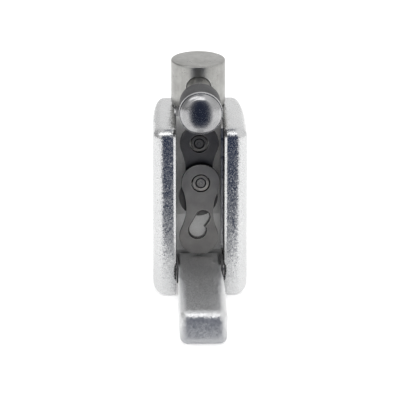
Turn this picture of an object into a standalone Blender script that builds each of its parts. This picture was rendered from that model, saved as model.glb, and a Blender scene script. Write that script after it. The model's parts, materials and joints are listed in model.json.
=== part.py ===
"""A folding bicycle chain tool, modelled as an assembly of separate pieces.

Two aluminium side plates hold a chain block between them. A drive screw with a sliding cross bar
stands on top and pushes a press pin down through the chain. A folding handle swings up into the
slot in front, where the two halves of a quick link are stored.

Dimensions are in millimetres and are turned into metres when a shape is made.
X runs to the right, Y to the back, Z up. Z = 0 is the face that the tool rests on.
"""

import math

import bmesh
import bpy
from mathutils import Matrix, Vector

MM = 0.001
NO_MERGE = 0.00001
GAP = 0.3

# Overall depths: the handle in front of the plates and the cross bar behind them
HANDLE_REACH = 30.2
BAR_REAR = 28.8
FRONT = (HANDLE_REACH - BAR_REAR) / 2

# Side plates
HALF_WIDTH = 10.5
SLOT_HALF = 5.4
BODY_DEPTH = 25.0
BODY_HEIGHT = 39.2
EDGE_FILLET = 2.4
LOWER_FILLET = 2.8
REAR_FILLET = 1.9
BASE_FILLET = 0.9
INNER_CHAMFER = 0.3
SIDE_CROWN = 2.4

# Chain block between the plates
BLOCK_HALF = SLOT_HALF - 0.25
BLOCK_FRONT = FRONT + 11.6
BLOCK_TOE = FRONT + 8.1
BLOCK_REAR = FRONT + 24.7
BLOCK_FLOOR = 0.4
BLOCK_TOP = 38.7
RAMP_BOTTOM = 8.2
RAMP_TOP = 15.5
SPINE_REAR = FRONT + 15.0
THROAT_FLOOR = 13.9
THROAT_ROOF = 21.6
WINDOW_FRONT = FRONT + 14.4
SPRING_INNER = SLOT_HALF - 0.68
SPRING_OUTER = SLOT_HALF - 0.18

# The cradle plate: a tongue inside the block's spine, and wings in the throat
CRADLE_BOTTOM = 16.6
CRADLE_TOP = 18.7
CRADLE_HALF = 8.3
CRADLE_FRONT = FRONT + 13.3
CRADLE_WING_FRONT = WINDOW_FRONT + 0.45
CRADLE_REAR = FRONT + 20.9
TOOTH_TIP_RADIUS = 1.2
ROLLER_RADIUS = 4.15

# Drive screw and press pin, on a vertical axis
SCREW_Y = FRONT + 19.4
HEAD_RADIUS = 6.1
HEAD_BOTTOM = 39.5
HEAD_TOP = 49.7
HEAD_CHAMFER = 0.4
SHANK_RADIUS = 3.4
SHANK_BOTTOM = 23.0
BORE_RADIUS = 3.7
PRESS_PIN_RADIUS = 1.6
PRESS_PIN_TIP = 14.6
PRESS_PIN_TOP = 30.6
PIN_POCKET_RADIUS = 1.9
PIN_POCKET_TOP = 31.0

# Cross bar through the screw head
BAR_Z = 44.6
BAR_RADIUS = 2.6
BAR_HOLE_RADIUS = 2.85
STUB_RADIUS = 1.5
SLEEVE_RADIUS = 4.55
SLEEVE_FRONT = FRONT - 3.3
SLEEVE_REAR = FRONT + 3.4
KNOB_RADIUS = 4.8
KNOB_REAR = FRONT - 3.6
KNOB_RIM = 0.9
KNOB_DOME = 2.1
KNOB_SOCKET_DEPTH = 1.6
STOP_RING_RADIUS = 3.5
STOP_RING_FRONT = FRONT + 27.9
STOP_RING_REAR = FRONT + BAR_REAR

# Folding handle and its pivot
HANDLE_HALF = 5.175
HANDLE_HEIGHT = 7.8
HANDLE_FILLET = 1.3
TANG_LEFT = 4.75
TANG_RIGHT = 4.3
TAPER_FRONT = FRONT - 14.0
TAPER_REAR = FRONT + 2.0
HANDLE_CORNER = 1.6
PIVOT_Y = FRONT + 2.5
PIVOT_Z = 5.6
TANG_RADIUS = 5.0
PIVOT_RADIUS = 1.5
PIVOT_HALF_LENGTH = 8.2
WASHER_RADIUS = 3.2
LEFT_WASHER = (-5.25, -4.95)
RIGHT_WASHER = (4.6, 5.1)

# Quick link halves, stored one behind the other
LINK_PITCH = 12.7
LOBE_RADIUS = 4.33
WAIST_HALF = 3.0
LINK_THICKNESS = 1.0
LINK_PIN_RADIUS = 1.45
RIVET_RADIUS = 1.75
RIVET_HOLE_RADIUS = 2.05
KEY_WIDE_RADIUS = 2.15
KEY_WIDE_PLACE = (-0.35, -10.75)
KEY_NARROW_RADIUS = 1.75
KEY_NARROW_PLACE = (0.78, -8.0)
KEY_CUSP = (1.3, -10.2)

# Pieces fixed in the body: depth and height of each axis
UPPER_BOLT = (FRONT + 13.55, 29.6)
LOWER_BOLT = (FRONT + 12.6, 5.0)
DOWEL = (FRONT + 12.9, 10.6)
DOWEL_RADIUS = 1.0
DOWEL_HOLE_RADIUS = 1.3
BOLT_RADIUS = 1.25
BOLT_HOLE_RADIUS = 1.55
BOLT_HEAD_RADIUS = 2.3
BOLT_HEAD_INNER = 8.2
BOLT_HEAD_OUTER = 9.6
COUNTERBORE_RADIUS = 2.6
COUNTERBORE_FLOOR = 7.9
HEX_RADIUS = 1.2
MAGNET_RADIUS = 2.3
MAGNET_LENGTH = 1.6
MAGNET_POCKET_RADIUS = 2.6
MAGNET_POCKET_DEPTH = 2.1
UPPER_MAGNET_Z = 34.0
LOWER_MAGNET_Z = 25.05
ANVIL_RADIUS = 3.5
ANVIL_HOLE_RADIUS = 2.1
ANVIL_BOTTOM = 9.5
ANVIL_TOP = 14.2

ROUND_STEPS = 40
BORE_STEPS = 28


def clear_scene():
    for thing in list(bpy.data.objects):
        bpy.data.objects.remove(thing, do_unlink=True)


def new_collection(name):
    collection = bpy.data.collections.new(name)
    bpy.context.scene.collection.children.link(collection)
    return collection


clear_scene()
PARTS = new_collection("folding_chain_tool")
CUTTERS = new_collection("cutters")


def finish_material(name, colour, roughness, metallic):
    material = bpy.data.materials.new(name)
    material.use_nodes = True
    shader = material.node_tree.nodes["Principled BSDF"]
    shader.inputs["Base Color"].default_value = (*colour, 1.0)
    shader.inputs["Roughness"].default_value = roughness
    shader.inputs["Metallic"].default_value = metallic
    material.diffuse_color = (*colour, 1.0)
    return material


ALUMINIUM = finish_material("blasted_aluminium", (0.72, 0.73, 0.75), 0.38, 1.0)
BLOCK_METAL = finish_material("machined_block", (0.42, 0.43, 0.45), 0.42, 1.0)
TURNED_STEEL = finish_material("turned_steel", (0.55, 0.54, 0.52), 0.35, 1.0)
POLISHED_STEEL = finish_material("polished_steel", (0.85, 0.85, 0.86), 0.08, 1.0)
DARK_STEEL = finish_material("dark_steel", (0.10, 0.10, 0.105), 0.45, 0.9)
HARD_STEEL = finish_material("hardened_steel", (0.33, 0.33, 0.35), 0.3, 1.0)
MAGNET_PLATING = finish_material("magnet_plating", (0.66, 0.66, 0.63), 0.2, 1.0)
SLEEVE_PLASTIC = finish_material("grey_sleeve", (0.09, 0.09, 0.095), 0.55, 0.0)


def arc(centre, radius, start_degrees, end_degrees, steps):
    """Points on an arc in a plane, both ends included."""
    points = []
    for step in range(steps + 1):
        angle = math.radians(start_degrees + (end_degrees - start_degrees) * step / steps)
        points.append((centre[0] + radius * math.cos(angle), centre[1] + radius * math.sin(angle)))
    return points


def mesh_of_evaluated(thing):
    """The object's shape as a mesh of its own, with loose caps welded."""
    evaluated = thing.evaluated_get(bpy.context.evaluated_depsgraph_get())
    mesh = bpy.data.meshes.new_from_object(evaluated)
    work = bmesh.new()
    work.from_mesh(mesh)
    bmesh.ops.remove_doubles(work, verts=work.verts, dist=NO_MERGE)
    bmesh.ops.recalc_face_normals(work, faces=work.faces)
    work.to_mesh(mesh)
    work.free()
    return mesh


def place(name, mesh, material, matrix=None, cutter=False):
    """An object for a mesh, among the parts or among the cutters."""
    thing = bpy.data.objects.new(name, mesh)
    (CUTTERS if cutter else PARTS).objects.link(thing)
    if material is not None:
        mesh.materials.append(material)
    if cutter:
        thing.hide_render = True
        thing.display_type = "WIRE"
    if matrix is not None:
        thing.matrix_world = matrix
    return thing


# A prism's outline lies in two of the axes, and it is extruded along the third
ALONG_X = Matrix(((0, 0, 1, 0), (1, 0, 0, 0), (0, 1, 0, 0), (0, 0, 0, 1)))
ALONG_Y = Matrix(((1, 0, 0, 0), (0, 0, -1, 0), (0, 1, 0, 0), (0, 0, 0, 1)))
ALONG_Z = Matrix.Identity(4)


def prism(name, outline, low, high, direction, material=None, cutter=False):
    """A flat outline in millimetres, extruded from low to high along one axis."""
    curve = bpy.data.curves.new(name, "CURVE")
    curve.dimensions = "2D"
    curve.fill_mode = "BOTH"
    curve.extrude = (high - low) / 2 * MM
    spline = curve.splines.new("POLY")
    spline.points.add(len(outline) - 1)
    for point, (u, v) in zip(spline.points, outline):
        point.co = (u * MM, v * MM, 0.0, 1.0)
    spline.use_cyclic_u = True
    guide = bpy.data.objects.new(name + "_outline", curve)
    CUTTERS.objects.link(guide)
    middle = (low + high) / 2 * MM
    if direction is ALONG_Y:
        middle = -middle
    mesh = mesh_of_evaluated(guide)
    bpy.data.objects.remove(guide, do_unlink=True)
    mesh.transform(direction @ Matrix.Translation((0.0, 0.0, middle)))
    work = bmesh.new()
    work.from_mesh(mesh)
    bmesh.ops.recalc_face_normals(work, faces=work.faces)
    work.to_mesh(mesh)
    work.free()
    return place(name, mesh, material, cutter=cutter)


def box(name, low, high, material=None, cutter=False):
    """A rectangular block between two corners."""
    mesh = bpy.data.meshes.new(name)
    work = bmesh.new()
    bmesh.ops.create_cube(work, size=MM)
    size = [b - a for a, b in zip(low, high)]
    middle = [(a + b) / 2 * MM for a, b in zip(low, high)]
    bmesh.ops.scale(work, vec=size, verts=work.verts)
    bmesh.ops.translate(work, vec=middle, verts=work.verts)
    work.to_mesh(mesh)
    work.free()
    return place(name, mesh, material, cutter=cutter)


TURN_TO_X = Matrix.Rotation(math.radians(90), 4, "Y")
TURN_TO_MINUS_X = Matrix.Rotation(math.radians(-90), 4, "Y")
TURN_TO_Y = Matrix.Rotation(math.radians(-90), 4, "X")


def turned(
    name, profile, origin, turn=None, material=None, closed=False, cutter=False, steps=ROUND_STEPS
):
    """A turned piece. The profile is (radius, height) down its outer side, from top to bottom."""
    mesh = bpy.data.meshes.new(name)
    vertices = [(radius * MM, 0.0, height * MM) for radius, height in profile]
    edges = [(n, n + 1) for n in range(len(vertices) - 1)]
    if closed:
        edges.append((len(vertices) - 1, 0))
    mesh.from_pydata(vertices, edges, [])
    matrix = Matrix.Translation(Vector(origin) * MM) @ (turn or Matrix.Identity(4))
    thing = place(name, mesh, material, matrix, cutter)
    screw = thing.modifiers.new("turn", "SCREW")
    screw.steps = steps
    screw.render_steps = steps
    screw.use_merge_vertices = True
    screw.merge_threshold = NO_MERGE
    screw.use_smooth_shade = True
    return thing


def rod_profile(radius, top, bottom, chamfer=0.0):
    """The profile of a plain rod with chamfered ends."""
    if chamfer == 0.0:
        return [(0.0, top), (radius, top), (radius, bottom), (0.0, bottom)]
    return [
        (0.0, top),
        (radius - chamfer, top),
        (radius, top - chamfer),
        (radius, bottom + chamfer),
        (radius - chamfer, bottom),
        (0.0, bottom),
    ]


def ring_profile(outer, inner, top, bottom, chamfer=0.0):
    """The closed profile of a ring, its outer side first."""
    if chamfer == 0.0:
        return [(outer, top), (outer, bottom), (inner, bottom), (inner, top)]
    return [
        (outer - chamfer, top),
        (outer, top - chamfer),
        (outer, bottom + chamfer),
        (outer - chamfer, bottom),
        (inner, bottom),
        (inner, top),
    ]


def combine(thing, cutter, operation="DIFFERENCE"):
    boolean = thing.modifiers.new(cutter.name, "BOOLEAN")
    boolean.operation = operation
    boolean.solver = "EXACT"
    boolean.object = cutter
    return thing


def bore(name, radius, centre, low, high, turn):
    """A round cutter from low to high along X, Y or Z through a centre."""
    profile = rod_profile(radius, high, low)
    return turned(name, profile, centre, turn, cutter=True, steps=BORE_STEPS)


def stepped_bore(name, sizes, end, centre, turn):
    """A cutter that narrows in steps. Each size is (radius, top of that radius)."""
    profile = [(0.0, sizes[0][1])]
    tops = [top for radius, top in sizes] + [end]
    for (radius, top), bottom in zip(sizes, tops[1:]):
        profile += [(radius, top), (radius, bottom)]
    profile.append((0.0, end))
    return turned(name, profile, centre, turn, cutter=True, steps=BORE_STEPS)


def bevel(thing, width, segments, angle):
    modifier = thing.modifiers.new("edges", "BEVEL")
    modifier.width = width * MM
    modifier.segments = segments
    modifier.limit_method = "ANGLE"
    modifier.angle_limit = math.radians(angle)
    return modifier


def smooth(thing):
    thing.data.shade_smooth()
    thing.data.set_sharp_from_angle(angle=math.radians(35))


# ---------------------------------------------------------------- side plates


def crown_points(side):
    """The plate's outer face seen from above: it draws in towards the back."""
    points = []
    steps = 9
    start = EDGE_FILLET
    for step in range(1, steps + 1):
        share = 1 - (1 - step / steps) ** 2
        drop = SIDE_CROWN * (1 - math.sqrt(1 - min(share, 1.0) ** 3))
        depth = start + (BODY_DEPTH - start) * share
        points.append((side * (HALF_WIDTH - drop), FRONT + depth))
    return points


def top_outline(side):
    corner = (side * (HALF_WIDTH - EDGE_FILLET), FRONT + EDGE_FILLET)
    turn = arc(corner, EDGE_FILLET, -90, 0 if side > 0 else -180, 5)
    return [
        (side * SLOT_HALF, FRONT + INNER_CHAMFER),
        (side * (SLOT_HALF + INNER_CHAMFER), FRONT),
        *turn,
        *crown_points(side),
        (side * (SLOT_HALF + INNER_CHAMFER), FRONT + BODY_DEPTH),
        (side * SLOT_HALF, FRONT + BODY_DEPTH - INNER_CHAMFER),
    ]


def side_outline():
    rear = FRONT + BODY_DEPTH
    fillet = EDGE_FILLET
    return [
        *arc((FRONT + BASE_FILLET, BASE_FILLET), BASE_FILLET, 180, 270, 4),
        *arc((rear - REAR_FILLET, REAR_FILLET), REAR_FILLET, 270, 360, 6),
        *arc((rear - REAR_FILLET, BODY_HEIGHT - REAR_FILLET), REAR_FILLET, 0, 90, 6),
        *arc((FRONT + fillet, BODY_HEIGHT - fillet), fillet, 90, 180, 5),
    ]


def front_outline(side):
    top = BODY_HEIGHT
    lower = (side * (HALF_WIDTH - LOWER_FILLET), LOWER_FILLET)
    upper = (side * (HALF_WIDTH - EDGE_FILLET), top - EDGE_FILLET)
    outward = 0 if side > 0 else 180
    downward = -90 if side > 0 else 270
    return [
        (side * SLOT_HALF, INNER_CHAMFER),
        (side * (SLOT_HALF + INNER_CHAMFER), 0.0),
        *arc(lower, LOWER_FILLET, downward, outward, 6),
        *arc(upper, EDGE_FILLET, outward, 90, 5),
        (side * (SLOT_HALF + INNER_CHAMFER), top),
        (side * SLOT_HALF, top - INNER_CHAMFER),
    ]


def side_plate(name, side):
    plate = prism(name, top_outline(side), 0.0, BODY_HEIGHT, ALONG_Z, ALUMINIUM)
    reach = HALF_WIDTH + 1
    inner, outer = sorted((side * (SLOT_HALF - 1), side * reach))
    around = prism(name + "_side_form", side_outline(), inner, outer, ALONG_X, cutter=True)
    combine(plate, around, "INTERSECT")
    rear = FRONT + BODY_DEPTH
    front = prism(name + "_front_form", front_outline(side), FRONT - 1, rear + 1, ALONG_Y, cutter=True)
    combine(plate, front, "INTERSECT")
    window = box(
        name + "_window",
        (inner, WINDOW_FRONT, THROAT_FLOOR - 0.2),
        (outer, rear + 1, THROAT_ROOF + 0.2),
        cutter=True,
    )
    combine(plate, window)
    pivot_low, pivot_high = sorted((side * (SLOT_HALF - 1), side * (PIVOT_HALF_LENGTH + GAP)))
    pivot = bore(
        name + "_pivot_bore",
        PIVOT_RADIUS + GAP,
        (0.0, PIVOT_Y, PIVOT_Z),
        pivot_low,
        pivot_high,
        TURN_TO_X,
    )
    combine(plate, pivot)
    dowel = bore(
        name + "_dowel_bore",
        DOWEL_HOLE_RADIUS,
        (0.0, *DOWEL),
        pivot_low,
        pivot_high,
        TURN_TO_X,
    )
    combine(plate, dowel)
    for label, spot, head_side in (("upper", UPPER_BOLT, 1), ("lower", LOWER_BOLT, -1)):
        sizes = [(BOLT_HOLE_RADIUS, PIVOT_HALF_LENGTH + GAP)]
        if head_side == side:
            sizes = [(COUNTERBORE_RADIUS, reach), (BOLT_HOLE_RADIUS, COUNTERBORE_FLOOR)]
        outward = TURN_TO_X if side > 0 else TURN_TO_MINUS_X
        hole = stepped_bore(f"{name}_{label}_hole", sizes, SLOT_HALF - 1, (0.0, *spot), outward)
        combine(plate, hole)
    smooth(plate)
    return plate


side_plate("left_side_plate", -1)
side_plate("right_side_plate", 1)


# ---------------------------------------------------------------- chain block


def chain_block():
    outline = [
        (BLOCK_TOE, BLOCK_FLOOR),
        (BLOCK_REAR, BLOCK_FLOOR),
        (BLOCK_REAR, THROAT_FLOOR),
        (SPINE_REAR, THROAT_FLOOR),
        (SPINE_REAR, THROAT_ROOF),
        (BLOCK_REAR, THROAT_ROOF),
        (BLOCK_REAR, BLOCK_TOP),
        (BLOCK_FRONT, BLOCK_TOP),
        (BLOCK_FRONT, RAMP_TOP),
        (BLOCK_TOE, RAMP_BOTTOM),
    ]
    block = prism("chain_block", outline, -BLOCK_HALF, BLOCK_HALF, ALONG_X, BLOCK_METAL)
    axis = (0.0, SCREW_Y, 0.0)
    cutters = [
        bore("screw_bore", BORE_RADIUS, axis, THROAT_ROOF - 1, BLOCK_TOP + 1, None),
        stepped_bore(
            "anvil_seat",
            [(ANVIL_RADIUS + GAP, THROAT_FLOOR + 1), (ANVIL_HOLE_RADIUS, ANVIL_BOTTOM - GAP)],
            BLOCK_FLOOR - 1,
            axis,
            None,
        ),
    ]
    for label, height in (("upper", UPPER_MAGNET_Z), ("lower", LOWER_MAGNET_Z)):
        centre = (0.0, 0.0, height)
        cutters.append(
            bore(
                label + "_magnet_seat",
                MAGNET_POCKET_RADIUS,
                centre,
                BLOCK_FRONT - 1,
                BLOCK_FRONT + MAGNET_POCKET_DEPTH,
                TURN_TO_Y,
            )
        )
    reach = BLOCK_HALF + 1
    for label, spot, radius in (
        ("upper_bolt", UPPER_BOLT, BOLT_HOLE_RADIUS),
        ("lower_bolt", LOWER_BOLT, BOLT_HOLE_RADIUS),
        ("dowel", DOWEL, DOWEL_HOLE_RADIUS),
    ):
        cutters.append(bore(label + "_way", radius, (0.0, *spot), -reach, reach, TURN_TO_X))
    cutters.append(
        box(
            "cradle_slot",
            (-reach, CRADLE_FRONT - GAP, CRADLE_BOTTOM - GAP),
            (reach, SPINE_REAR + 1, CRADLE_TOP + GAP),
            cutter=True,
        )
    )
    for cutter in cutters:
        combine(block, cutter)
    smooth(block)


def cradle_plate():
    """The toothed steel plate that locates one roller of the chain under the press pin."""
    tongue_half = BLOCK_HALF - GAP
    tip_x = CRADLE_HALF - TOOTH_TIP_RADIUS
    tip_y = CRADLE_REAR - TOOTH_TIP_RADIUS
    outline = [
        (-tongue_half, CRADLE_FRONT),
        (tongue_half, CRADLE_FRONT),
        (tongue_half, CRADLE_WING_FRONT),
        (CRADLE_HALF, CRADLE_WING_FRONT),
        *arc((tip_x, tip_y), TOOTH_TIP_RADIUS, 0, 90, 4),
        (ROLLER_RADIUS, CRADLE_REAR),
        *arc((0.0, SCREW_Y), ROLLER_RADIUS, 0, -180, 16),
        (-ROLLER_RADIUS, CRADLE_REAR),
        *arc((-tip_x, tip_y), TOOTH_TIP_RADIUS, 90, 180, 4),
        (-CRADLE_HALF, CRADLE_WING_FRONT),
        (-tongue_half, CRADLE_WING_FRONT),
    ]
    prism("cradle_plate", outline, CRADLE_BOTTOM, CRADLE_TOP, ALONG_Z, HARD_STEEL)


chain_block()
cradle_plate()

turned(
    "anvil_bush",
    ring_profile(ANVIL_RADIUS, ANVIL_HOLE_RADIUS, ANVIL_TOP, ANVIL_BOTTOM, 0.3),
    (0.0, SCREW_Y, 0.0),
    material=HARD_STEEL,
    closed=True,
)

for label, height in (("upper", UPPER_MAGNET_Z), ("lower", LOWER_MAGNET_Z)):
    turned(
        f"link_magnet_{label}",
        rod_profile(MAGNET_RADIUS, MAGNET_LENGTH + 0.1, 0.1, 0.2),
        (0.0, BLOCK_FRONT, height),
        TURN_TO_Y,
        MAGNET_PLATING,
    )


def link_spring():
    """The thin steel strip beside the stored links, on the right wall of the slot."""
    low = (FRONT + 5.4, RAMP_BOTTOM + 0.5)
    high = (BLOCK_FRONT - 0.4, BLOCK_TOP - 0.5)
    corner = 0.8
    outline = [
        *arc((low[0] + corner, low[1] + corner), corner, 180, 270, 3),
        (BLOCK_TOE - 0.15, low[1]),
        (high[0], RAMP_TOP),
        *arc((high[0] - corner, high[1] - corner), corner, 0, 90, 3),
        *arc((low[0] + corner, high[1] - corner), corner, 90, 180, 3),
    ]
    prism("link_spring", outline, SPRING_INNER, SPRING_OUTER, ALONG_X, HARD_STEEL)


link_spring()


# ---------------------------------------------------------------- fixings


def body_bolt(name, spot, side):
    """A socket-head bolt across the body, with its head sunk in one side plate."""
    tip = -(PIVOT_HALF_LENGTH - 0.2)
    profile = [
        (0.0, BOLT_HEAD_OUTER),
        (BOLT_HEAD_RADIUS - 0.3, BOLT_HEAD_OUTER),
        (BOLT_HEAD_RADIUS, BOLT_HEAD_OUTER - 0.3),
        (BOLT_HEAD_RADIUS, BOLT_HEAD_INNER),
        (BOLT_RADIUS, BOLT_HEAD_INNER),
        (BOLT_RADIUS, tip + 0.3),
        (BOLT_RADIUS - 0.3, tip),
        (0.0, tip),
    ]
    turn = TURN_TO_X if side > 0 else TURN_TO_MINUS_X
    bolt = turned(name, profile, (0.0, *spot), turn, DARK_STEEL)
    corners = [(spot[0] + u, spot[1] + v) for u, v in arc((0.0, 0.0), HEX_RADIUS, 0, 300, 5)]
    low, high = sorted((side * (BOLT_HEAD_OUTER - 1.0), side * (BOLT_HEAD_OUTER + 1.0)))
    socket = prism(name + "_socket", corners, low, high, ALONG_X, cutter=True)
    combine(bolt, socket)


body_bolt("body_bolt_upper", UPPER_BOLT, 1)
body_bolt("body_bolt_lower", LOWER_BOLT, -1)
turned(
    "alignment_dowel",
    rod_profile(DOWEL_RADIUS, PIVOT_HALF_LENGTH, -PIVOT_HALF_LENGTH, 0.3),
    (0.0, *DOWEL),
    TURN_TO_X,
    HARD_STEEL,
)
turned(
    "handle_pivot_pin",
    rod_profile(PIVOT_RADIUS, PIVOT_HALF_LENGTH, -PIVOT_HALF_LENGTH, 0.3),
    (0.0, PIVOT_Y, PIVOT_Z),
    TURN_TO_X,
    HARD_STEEL,
)
for label, (low, high) in (("left", LEFT_WASHER), ("right", RIGHT_WASHER)):
    turned(
        f"pivot_washer_{label}",
        ring_profile(WASHER_RADIUS, PIVOT_RADIUS + GAP, high, low),
        (0.0, PIVOT_Y, PIVOT_Z),
        TURN_TO_X,
        SLEEVE_PLASTIC,
        closed=True,
    )


# ---------------------------------------------------------------- folding handle


def handle_flank(depth, tang):
    """One flank's distance from the middle: full in front, eased in to the tang in the slot."""
    share = (depth - TAPER_FRONT) / (TAPER_REAR - TAPER_FRONT)
    share = min(max(share, 0.0), 1.0)
    return HANDLE_HALF + (tang - HANDLE_HALF) * share * share * (3 - 2 * share)


def folding_handle():
    tip = FRONT - HANDLE_REACH
    tang_end = PIVOT_Y + TANG_RADIUS + 1
    steps = 8
    depths = [TAPER_FRONT + (TAPER_REAR - TAPER_FRONT) * n / steps for n in range(steps + 1)]
    depths.append(tang_end)
    right = [(handle_flank(depth, TANG_RIGHT), depth) for depth in depths]
    left = [(-handle_flank(depth, TANG_LEFT), depth) for depth in reversed(depths)]
    corner = HANDLE_HALF - HANDLE_CORNER
    outline = [
        *arc((-corner, tip + HANDLE_CORNER), HANDLE_CORNER, 180, 270, 5),
        *arc((corner, tip + HANDLE_CORNER), HANDLE_CORNER, 270, 360, 5),
        *right,
        *left,
    ]
    handle = prism("folding_handle", outline, 0.0, HANDLE_HEIGHT, ALONG_Z, ALUMINIUM)
    top_angle = math.degrees(math.asin((HANDLE_HEIGHT - PIVOT_Z) / TANG_RADIUS))
    heel = PIVOT_Y - 5 * (PIVOT_Z - TANG_RADIUS)
    flank = [
        (tip - 1, -1.0),
        (heel - 5.0, -1.0),
        (heel, 0.0),
        *arc((PIVOT_Y, PIVOT_Z), TANG_RADIUS, -90, top_angle, 10),
        (PIVOT_Y + TANG_RADIUS * math.cos(math.radians(top_angle)), HANDLE_HEIGHT + 1),
        (tip - 1, HANDLE_HEIGHT + 1),
    ]
    form = prism("handle_side_form", flank, -8.0, 8.0, ALONG_X, cutter=True)
    combine(handle, form, "INTERSECT")
    bevel(handle, HANDLE_FILLET, 3, 50)
    eye = bore(
        "handle_eye",
        PIVOT_RADIUS + GAP,
        (0.0, PIVOT_Y, PIVOT_Z),
        -8.0,
        8.0,
        TURN_TO_X,
    )
    combine(handle, eye)
    smooth(handle)


folding_handle()


# ---------------------------------------------------------------- screw, pin and cross bar


def drive_screw():
    profile = [
        (0.0, HEAD_TOP),
        (HEAD_RADIUS - HEAD_CHAMFER, HEAD_TOP),
        (HEAD_RADIUS, HEAD_TOP - HEAD_CHAMFER),
        (HEAD_RADIUS, HEAD_BOTTOM + HEAD_CHAMFER),
        (HEAD_RADIUS - HEAD_CHAMFER, HEAD_BOTTOM),
        (SHANK_RADIUS, HEAD_BOTTOM),
        (SHANK_RADIUS, SHANK_BOTTOM + 0.6),
        (SHANK_RADIUS - 0.6, SHANK_BOTTOM),
        (PIN_POCKET_RADIUS, SHANK_BOTTOM),
        (PIN_POCKET_RADIUS, PIN_POCKET_TOP),
        (0.0, PIN_POCKET_TOP),
    ]
    screw = turned("drive_screw", profile, (0.0, SCREW_Y, 0.0), material=TURNED_STEEL)
    hole = bore(
        "bar_hole",
        BAR_HOLE_RADIUS,
        (0.0, SCREW_Y, BAR_Z),
        -HEAD_RADIUS - 1,
        HEAD_RADIUS + 1,
        TURN_TO_Y,
    )
    combine(screw, hole)


drive_screw()
turned(
    "press_pin",
    rod_profile(PRESS_PIN_RADIUS, PRESS_PIN_TOP, PRESS_PIN_TIP, 0.4),
    (0.0, SCREW_Y, 0.0),
    material=HARD_STEEL,
)


def cross_bar():
    """The sliding bar, with a stub at each end for the knob and the stop ring."""
    centre = (0.0, 0.0, BAR_Z)
    knob_floor = KNOB_REAR - KNOB_SOCKET_DEPTH
    profile = [
        (0.0, STOP_RING_REAR),
        (STUB_RADIUS, STOP_RING_REAR),
        (STUB_RADIUS, STOP_RING_FRONT - GAP),
        (BAR_RADIUS, STOP_RING_FRONT - GAP),
        (BAR_RADIUS, SLEEVE_FRONT),
        (STUB_RADIUS, SLEEVE_FRONT),
        (STUB_RADIUS, knob_floor),
        (0.0, knob_floor),
    ]
    turned("cross_bar", profile, centre, TURN_TO_Y, TURNED_STEEL)
    turned(
        "bar_sleeve",
        ring_profile(SLEEVE_RADIUS, BAR_RADIUS + 0.25, SLEEVE_REAR, SLEEVE_FRONT, 0.3),
        centre,
        TURN_TO_Y,
        SLEEVE_PLASTIC,
        closed=True,
    )
    turned(
        "bar_stop_ring",
        ring_profile(STOP_RING_RADIUS, STUB_RADIUS + GAP, STOP_RING_REAR, STOP_RING_FRONT),
        centre,
        TURN_TO_Y,
        TURNED_STEEL,
        closed=True,
    )
    rim_front = KNOB_REAR - KNOB_RIM
    dome = []
    for step in range(8):
        angle = math.radians(90 * step / 7)
        dome.append((KNOB_RADIUS * math.cos(angle), rim_front - KNOB_DOME * math.sin(angle)))
    knob = [
        (0.0, knob_floor - GAP),
        (STUB_RADIUS + GAP, knob_floor - GAP),
        (STUB_RADIUS + GAP, KNOB_REAR),
        (KNOB_RADIUS - 0.25, KNOB_REAR),
        (KNOB_RADIUS, KNOB_REAR - 0.25),
        *dome[:-1],
        (0.0, rim_front - KNOB_DOME),
    ]
    turned("bar_knob", knob, centre, TURN_TO_Y, POLISHED_STEEL)


cross_bar()


# ---------------------------------------------------------------- quick link halves


def link_outline():
    """Two round ends joined by a waist, with the rivet at the origin and the other end below."""
    half_pitch = LINK_PITCH / 2
    hollow_radius = (half_pitch**2 + WAIST_HALF**2 - LOBE_RADIUS**2) / (
        2 * (LOBE_RADIUS - WAIST_HALF)
    )
    hollow_x = WAIST_HALF + hollow_radius
    lean = math.degrees(math.atan2(half_pitch, hollow_x))
    lower = -LINK_PITCH
    return [
        *arc((0.0, 0.0), LOBE_RADIUS, -lean, 180 + lean, 18),
        *arc((-hollow_x, -half_pitch), hollow_radius, lean, -lean, 6)[1:-1],
        *arc((0.0, lower), LOBE_RADIUS, 180 - lean, 360 + lean, 18),
        *arc((hollow_x, -half_pitch), hollow_radius, 180 + lean, 180 - lean, 6)[1:-1],
    ]


def keyhole_outline():
    """A wide hole and a narrower one above it: a straight left flank, and a cusp on the right."""
    wide, narrow, cusp = Vector(KEY_WIDE_PLACE), Vector(KEY_NARROW_PLACE), Vector(KEY_CUSP)
    along = narrow - wide
    heading = math.degrees(math.atan2(along.y, along.x))
    spread = math.degrees(math.acos((KEY_WIDE_RADIUS - KEY_NARROW_RADIUS) / along.length))
    to_cusp = cusp - narrow
    tangent = math.degrees(math.acos(KEY_NARROW_RADIUS / to_cusp.length))
    start = math.degrees(math.atan2(to_cusp.y, to_cusp.x)) + tangent
    from_wide = cusp - wide
    end = 360 + math.degrees(math.atan2(from_wide.y, from_wide.x)) - 6
    return [
        *arc(narrow, KEY_NARROW_RADIUS, start, heading + spread, 11),
        *arc(wide, KEY_WIDE_RADIUS, heading + spread, end, 14),
        tuple(cusp),
    ]


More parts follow.
